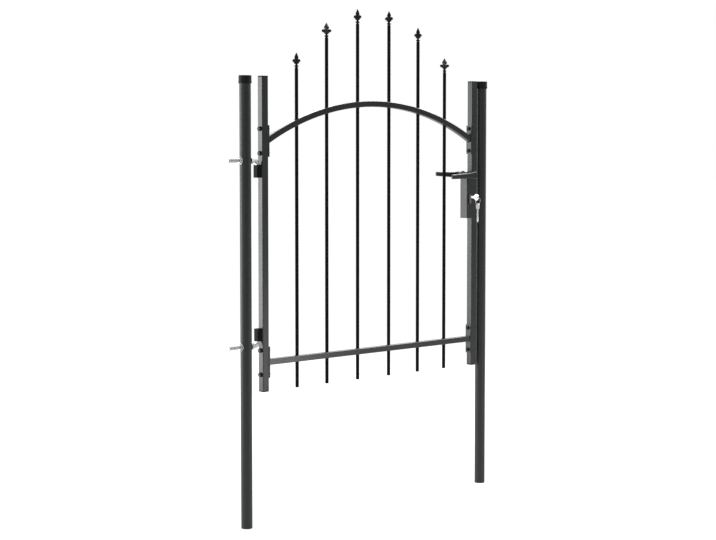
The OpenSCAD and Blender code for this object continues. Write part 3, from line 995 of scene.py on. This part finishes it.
# %% One bracket bolt along +X
HEAD_AF = 0.013
SHIM_R = size("hinge_side_bolts").y / 2
SHIM_T = 0.0016
SHANK_R = 0.004
FINE_PITCH, FINE_DEPTH = 0.00125, 0.0006
stile_w = size("hinge_stile").x
stile_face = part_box("hinge_stile")[0].x
plate_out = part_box("hinge_side_arch_plate")[1].x - stile_face
bolt_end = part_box("hinge_side_bolts")[1].x - stile_face
HEAD_H = stile_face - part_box("hinge_side_bolts")[0].x - SHIM_T
head = hexagon("bolt_head", HEAD_AF, HEAD_H, 0)
head.data.transform(Matrix.Translation((-SHIM_T, 0, 0)) @ Matrix.Rotation(pi, 4, "Z"))
shim = disc("shim", SHIM_R, SHIM_T, -SHIM_T)
modify(shim, "BEVEL", width=0.0003, segments=2, limit_method="ANGLE")
mate = hexagon("bolt_nut", HEAD_AF, HEAD_H, SHANK_R)
mate.data.transform(Matrix.Translation((plate_out, 0, 0)))
end_thread = threaded("end_thread", stile_w - 0.002, bolt_end, SHANK_R, FINE_PITCH, FINE_DEPTH, steps=20)
shank = disc("shank", SHANK_R - FINE_DEPTH / 2, stile_w)
bracket_bolt = join(head, shim, mate, end_thread, shank)
print("bracket bolt", len(bracket_bolt.data.polygons), "faces")

# %% [markdown]
# Two bolts go through each plate, one above and one below the rail. The bolts on the latch
# side point the other way, so their copies are turned half round.

# %% Eight bracket bolts
rail_z = middle("hinge_side_rail_plate").z
arch_z = middle("hinge_side_arch_plate").z
half_pitch = rail_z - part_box("hinge_side_bolts")[0].z - SHIM_R
leaf_left, leaf_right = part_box("hinge_stile")[0].x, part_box("latch_stile")[1].x
for side, x, turn in (("hinge_side", leaf_left, 0), ("latch_side", leaf_right, pi)):
    bolts = []
    for z in (rail_z - half_pitch, rail_z + half_pitch, arch_z - half_pitch, arch_z + half_pitch):
        twist = Matrix.Rotation(radians(13 + 31 * len(bolts)), 4, "X")
        place = Matrix.Translation((x, 0, z)) @ Matrix.Rotation(turn, 4, "Z") @ twist
        bolts.append(copy_to(bracket_bolt, f"{side}_bolt_{len(bolts) + 1}", place))
    bolts = join(*bolts)
    bolts.name = f"{side}_bracket_bolts"
    hand_over(bolts, black_oxide, "black_fasteners", "leaf", f"{side}_bolts")
discard(bracket_bolt)
print("bracket bolts at", round(rail_z - half_pitch, 4), round(arch_z + half_pitch, 4))

# %% [markdown]
# ## Keys, ring and cylinder
#
# A key is punched from sheet: a round bow with a hole, and a blade with cuts and a milled
# groove. We start with the disc of the bow, pull the blade out of its rim, and cut the hole,
# groove and bitting with the Boolean modifier.

# %% One key in the Y-Z plane, its bow's centre at the origin and its blade along +Y
KEY_T = size("key").x
BOW_R = size("key").z / 2
BLADE_H = 0.008
NECK = 0.004
TIP = 0.003
key_reach = size("key").y - BOW_R
bow = disc("bow", BOW_R, KEY_T, -KEY_T / 2)
edit(bow)
pick(bow, lambda place, normal: normal.y > 0.92)
extrude((0, NECK, 0))
resize((1, 0, 1), (0, BOW_R + NECK / 2, 0))
mesh = bmesh.from_edit_mesh(bow.data)
rim = [v.co.copy() for v in mesh.verts if v.select]
resize((1, 1, BLADE_H / 2 / max(v.z for v in rim)), (0, 0, 0))
extrude((0, key_reach - rim[0].y - TIP, 0))
extrude((0, TIP, 0))
resize((1, 1, 0.45), (0, 0, 0))
tidy(bow)
print("key reaches", round(max(v.co.y for v in bow.data.vertices), 4), "wanted", round(key_reach, 4))

# %% [markdown]
# The cutters are plain bodies: a disc for the hole, a long block for the groove and five
# blocks on edge for the bitting, each cut to its own depth.

# %% Hole, groove and bitting
def cut_away(piece, *cutters):
    for cutter in cutters:
        modify(piece, "BOOLEAN", operation="DIFFERENCE", object=cutter, solver="EXACT")
    discard(*cutters)


HOLE_R = 0.0025
RIM = 0.002
HOLE_OFF = BOW_R - HOLE_R - RIM
TOOTH_STEP = 0.0042
CUTS = (0.0016, 0.0026, 0.0012, 0.0022, 0.0010)
hole = disc("hole", HOLE_R, 0.01, -0.005, sides=32)
hole.data.transform(Matrix.Translation((0, -HOLE_OFF, 0)))
groove = start(
    "groove", "cube", size=1, location=(KEY_T / 2, BOW_R + key_reach / 2 + 0.002, 0.001),
    scale=(0.0012, key_reach, 0.0015),
)
cutters = [hole, groove]
for k, depth in enumerate(CUTS):
    tooth = start(
        f"tooth_{k}", "cube", size=1, location=(0, key_reach - 0.006 - TOOTH_STEP * k, -BLADE_H / 2),
        scale=(0.01, depth * 1.3, depth * 1.3), rotation=(pi / 4, 0, 0),
    )
    cutters.append(tooth)
cut_away(bow, *cutters)
tidy(bow)
modify(bow, "BEVEL", width=0.0002, segments=1, limit_method="ANGLE", angle_limit=radians(40))
print("key", len(bow.data.polygons), "faces")

# %% [markdown]
# One key sits in the cylinder, and the spare one hangs from the ring, blade down and turned
# a little out of the leaf's plane.

# %% Key and spare key
SPARE_TURN = -12
key_at = Matrix.Translation((middle("key").x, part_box("key")[0].y + BOW_R, middle("key").z))
spare_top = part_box("spare_key")[1].z
spare_at = Matrix.Translation((middle("spare_key").x, middle("spare_key").y, spare_top - BOW_R))
hang = Matrix.Rotation(radians(SPARE_TURN), 4, "Z") @ Matrix.Rotation(-pi / 2, 4, "X")
key = copy_to(bow, "nickel_key", key_at)
spare = copy_to(bow, "nickel_spare_key", spare_at @ hang)
discard(bow)
hand_over(key, nickel, "nickel_plate", "leaf", "key")
hand_over(spare, nickel, "nickel_plate", "leaf", "spare_key")
print("keys", corners(key), corners(spare))

# %% [markdown]
# The ring is a real split ring: two turns of wire, made by the Screw modifier. The wire is a
# little thicker than half the ring, so its turns lie against each other. Both ends are filled.

# %% Split ring: two turns of wire round Y
RING_R = size("key_ring").x / 2
WIRE_R = size("key_ring").y / 4
FULLER = 1.1
wire = start(
    "split_ring", "circle", vertices=12, radius=WIRE_R * FULLER, fill_type="NOTHING",
    location=(RING_R - WIRE_R * FULLER, -WIRE_R, 0),
)
modify(
    wire, "SCREW", axis="Y", angle=4 * pi, screw_offset=2 * WIRE_R, iterations=1, steps=96, render_steps=96
)
edit(wire, "VERT", everything=True)
bpy.ops.mesh.region_to_loop()
bpy.ops.mesh.select_all(action="SELECT")
bpy.ops.mesh.fill_holes(sides=12)
tidy(wire)
wire.data.transform(Matrix.Translation(middle("key_ring")) @ Matrix.Rotation(radians(70), 4, "Y"))
hand_over(wire, nickel, "nickel_plate", "leaf", "key_ring")
print("ring", corners(wire))

# %% [markdown]
# ## Lock cylinder and spindle
#
# The cylinder keeps its modelled shape and takes the darker nickel, whose darkness is
# painted shade. Its core, the round plug that the key turns, shows as a disc that stands a
# little proud at both ends, with a slit for the key.

# %% Core faces of the cylinder
nodes["lock_cylinder"].data.materials[0] = nickel_painted_shade
nodes["spindle"].data.materials[0] = zinc
CORE_R, CORE_T = 0.0065, 0.0012
KEY_PLAY = 0.0008
face_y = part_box("lock_cylinder")[0].y
cores = []
for way in (1, -1):
    core = disc(f"core_{way}", CORE_R, CORE_T)
    chamfer_end(core, lambda place, normal: normal.x > 0.9, 0.0003, 2)
    slit = start(f"slit_{way}", "cube", size=1, scale=(0.01, KEY_T + KEY_PLAY, BLADE_H + KEY_PLAY))
    cut_away(core, slit)
    turn = Matrix.Rotation(-pi / 2 * way, 4, "Z")
    at = Vector((middle("key").x, way * (face_y + CORE_T / 2), middle("key").z))
    core.data.transform(Matrix.Translation(at) @ turn)
    cores.append(core)
cores = join(*cores)
cores.name = "cylinder_core_faces"
tidy(cores)
hand_over(cores, nickel_painted_shade, "nickel_plate", "leaf")
print("cores", corners(cores))

# %% [markdown]
# ## Soft edges
#
# Plates, barrels and the lock case have square edges in the construction model, but coated
# steel never does: the coat rounds each edge a little, and the edge catches the light. For
# these nodes we take a copy of the mesh, merge its loose triangles, dissolve the flat faces
# back to single ones and bevel the sharp edges.

# %% Softened copies
def soften(node, width, segments=2):
    only(nodes[node])
    bpy.ops.object.duplicate(linked=False)
    copy = bpy.context.object
    copy.name = f"soft_{node}"
    copy.parent = None
    edit(copy, everything=True)
    bpy.ops.mesh.remove_doubles(threshold=0.000005)
    bpy.ops.mesh.dissolve_limited(angle_limit=radians(0.5))
    leave_edit()
    modify(
        copy, "BEVEL", width=width, segments=segments, limit_method="ANGLE", angle_limit=radians(50),
        use_clamp_overlap=True,
    )
    return copy


PLATES = [f"{side}_{rail}_plate" for side in ("hinge_side", "latch_side") for rail in ("arch", "rail")]
BARRELS = ("upper_hinge_barrel", "lower_hinge_barrel")
for node, width in (*((plate, 0.0008) for plate in PLATES), ("lock_case", 0.0012)):
    hand_over(soften(node, width), coat, "anthracite_coat", "leaf", node)
for node in BARRELS:
    hand_over(soften(node, 0.0010, segments=3), shaded_bar_coat, "anthracite_coat", "leaf", node)
print("softened", len(PLATES) + len(BARRELS) + 1, "nodes")

# %% [markdown]
# ## Black plastic
#
# The post caps and the plugs in the stiles are moulded polythene: black, a little grey where
# the light grazes it, with a fine spark-eroded texture.

# %% Plastic
plastic, tree, shader, place = finish("moulded_black_plastic", (0.006, 0.006, 0.006), 0.5, specular=0.2)
vary(tree, shader, grain(tree, place, 60, 3), ((0.004, 0.004, 0.004), (0.009, 0.009, 0.009)), (0.44, 0.58))
bumps(tree, shader, grain(tree, place, 2200, 2), 0.00005)
for node in ("hinge_post_cap", "latch_post_cap", "hinge_stile_plugs", "latch_stile_plugs"):
    nodes[node].data.materials[0] = plastic
print("made", plastic.name)

# %% [markdown]
# ## Arch
#
# The arch is one square tube rolled to a circle through its two ends and its crown. The
# radius follows from the span between the two ends and the rise of the crown over them.

# %% The circle of the arch
RAIL_W = size("bottom_rail").z
arch_low, arch_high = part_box("arch_rail")
mid_x = (arch_low.x + arch_high.x) / 2
crown_z = arch_high.z - RAIL_W / 2
half_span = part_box("latch_side_arch_plate")[1].x - mid_x
rise = crown_z - arch_z
arch_r = (half_span**2 + rise**2) / (2 * rise)
arch_centre = Vector((mid_x, 0, crown_z - arch_r))


def arch_height(x, radius):
    """The height of a circle round the arch's centre at that x."""
    return arch_centre.z + sqrt(radius**2 - (x - mid_x) ** 2)


print("arch radius", round(arch_r, 4), "rise", round(rise, 4))

# %% [markdown]
# A square with rounded corners, spun about the circle's centre, gives the tube in even steps,
# so the light runs along it without a flicker. The square starts at the crown and is turned
# down to one side, a little past the end. Two cuts trim the spun tube to the bracket plates.

# %% Rolled tube
TUBE_R = 0.002
swing = atan2(half_span + RAIL_W, arch_z - arch_centre.z)
tube = start(
    "rolled_arch", "plane", size=RAIL_W, location=arch_centre + Vector((0, 0, arch_r)),
    rotation=(0, pi / 2, 0),
)
edit(tube, "VERT", everything=True)
bpy.ops.mesh.bevel(offset=TUBE_R, segments=4, affect="VERTICES")
bpy.ops.mesh.select_all(action="SELECT")
bpy.ops.transform.rotate(value=-swing, orient_axis="Y", center_override=arch_centre)
mesh = bmesh.from_edit_mesh(tube.data)
side = 1 if mesh.verts[:][0].co.x < mid_x else -1
bpy.ops.mesh.spin(steps=96, angle=-2 * swing * side, center=arch_centre, axis=(0, 1, 0))
cut_between(tube, arch_low.x, arch_high.x)
hand_over(tube, shaded_rail_coat, "anthracite_coat", "leaf", "arch_rail")
print("arch", corners(tube))

# %% [markdown]
# ## Weld seams
#
# The frame is welded. Where a bar passes through a rail, the weld is a ring round the bar,
# above and below. Its points are shaken a little, with a fixed seed, so that no two are
# alike. On the arch the ring leans with the rail and is stretched to stay round the bar.

# %% Collars where the bars pass through the rails
WELD = 0.0014
COLLAR_R = bar_radius + WELD * 0.3
rail_low, rail_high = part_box("bottom_rail")


def collar(radius, wire, seed, place):
    """A round weld bead, made in the X-Y plane and put in place by a matrix."""
    piece = start(
        f"collar_{seed}", "torus", major_radius=radius, minor_radius=wire, major_segments=36,
        minor_segments=10,
    )
    edit(piece, "VERT", everything=True)
    bpy.ops.transform.vertex_random(offset=wire * 0.14, uniform=1.0, normal=0.0, seed=seed)
    leave_edit()
    piece.data.transform(place)
    return piece


places = []
for i in BARS:
    x = middle(f"bar_{i}").x
    for radius in (arch_r + RAIL_W / 2, arch_r - RAIL_W / 2):
        z = arch_height(x, radius)
        lean = radians(90) - atan2(sqrt(radius**2 - (x - mid_x) ** 2), x - mid_x)
        stretch = Matrix.Scale(1 / cos(lean), 4, (1, 0, 0))
        places.append(Matrix.Translation((x, 0, z)) @ Matrix.Rotation(lean, 4, "Y") @ stretch)
    places += [Matrix.Translation((x, 0, z)) for z in (rail_high.z, rail_low.z)]
collars = join(*[collar(COLLAR_R, WELD, seed, place) for seed, place in enumerate(places, 1)])
collars.name = "bar_weld_collars"
hand_over(collars, coat, "anthracite_coat", "leaf")
print("collars", len(places), "with", len(collars.data.polygons), "faces")

# %% [markdown]
# A straight bead is a half round ridge that swells and shrinks a little with each drop of
# the weld pool. It is turned like the collar of the spearhead, with a rippled radius, and
# tapers at both ends.

# %% A straight bead
def bead(name, first, last, radius, seed):
    """A straight weld bead between two points, tapered at both ends."""
    first, last = Vector(first), Vector(last)
    way = last - first
    count = max(6, round(way.length / (radius * 0.8)))
    swell = [0.10 * sin(2.2 * k + seed) + 0.05 * sin(5.1 * k + 2 * seed) for k in range(count + 1)]
    ripple = [radius * (0.92 + more) for more in swell]
    ripple[0] = ripple[-1] = radius * 0.3
    ripple[1] = ripple[-2] = radius * 0.75
    piece = turned(name, [(way.length * k / count, r) for k, r in enumerate(ripple)], 10)
    piece.data.transform(Matrix.Translation(first) @ way.to_track_quat("Z", "Y").to_matrix().to_4x4())
    return piece


FLAT_WELD = WELD * 1.1
LONG_WELD = WELD * 1.2
print("bead radii", round(FLAT_WELD, 5), round(LONG_WELD, 5))

# %% [markdown]
# Four beads run round each end of each rail, where it meets its bracket plate. The arch
# meets the plate at a slant, so its beads stand a little further apart. Two long beads hold
# each barrel to the stile, and short ones hold the lock case.

# %% Places of the straight beads
CASE_SEAM, CASE_END, BARREL_END = 0.025, 0.012, 0.003
half = RAIL_W / 2
slope = radians(90) - atan2(arch_z - arch_centre.z, half_span)
inner_left, inner_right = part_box("hinge_side_rail_plate")[1].x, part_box("latch_side_rail_plate")[0].x
seams = []
for x in (inner_left, inner_right):
    for z, half_z in (((rail_low.z + rail_high.z) / 2, half), (arch_height(x, arch_r), half / cos(slope))):
        ring = [(x, -half, z - half_z), (x, half, z - half_z), (x, half, z + half_z), (x, -half, z + half_z)]
        seams += [(first, last, FLAT_WELD) for first, last in zip(ring, ring[1:] + ring[:1])]
for node in BARRELS:
    low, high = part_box(node)
    foot, top = low.z + BARREL_END, high.z - BARREL_END
    seams += [((high.x, y, foot), (high.x, y, top), LONG_WELD) for y in (low.y, high.y)]
low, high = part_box("lock_case")
for y in (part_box("latch_stile")[0].y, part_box("latch_stile")[1].y):
    for z in (low.z + CASE_END, (low.z + high.z) / 2 - CASE_SEAM / 2, high.z - CASE_END - CASE_SEAM):
        seams.append(((high.x, y, z), (high.x, y, z + CASE_SEAM), LONG_WELD))
print("straight seams", len(seams))

# %% Straight beads
beads = []
for seed, (first, last, radius) in enumerate(seams, len(places) + 1):
    beads.append(bead(f"bead_{seed}", first, last, radius, seed))
beads = join(*beads)
beads.name = "frame_weld_beads"
hand_over(beads, coat, "anthracite_coat", "leaf")
print("beads", len(beads.data.polygons), "faces")
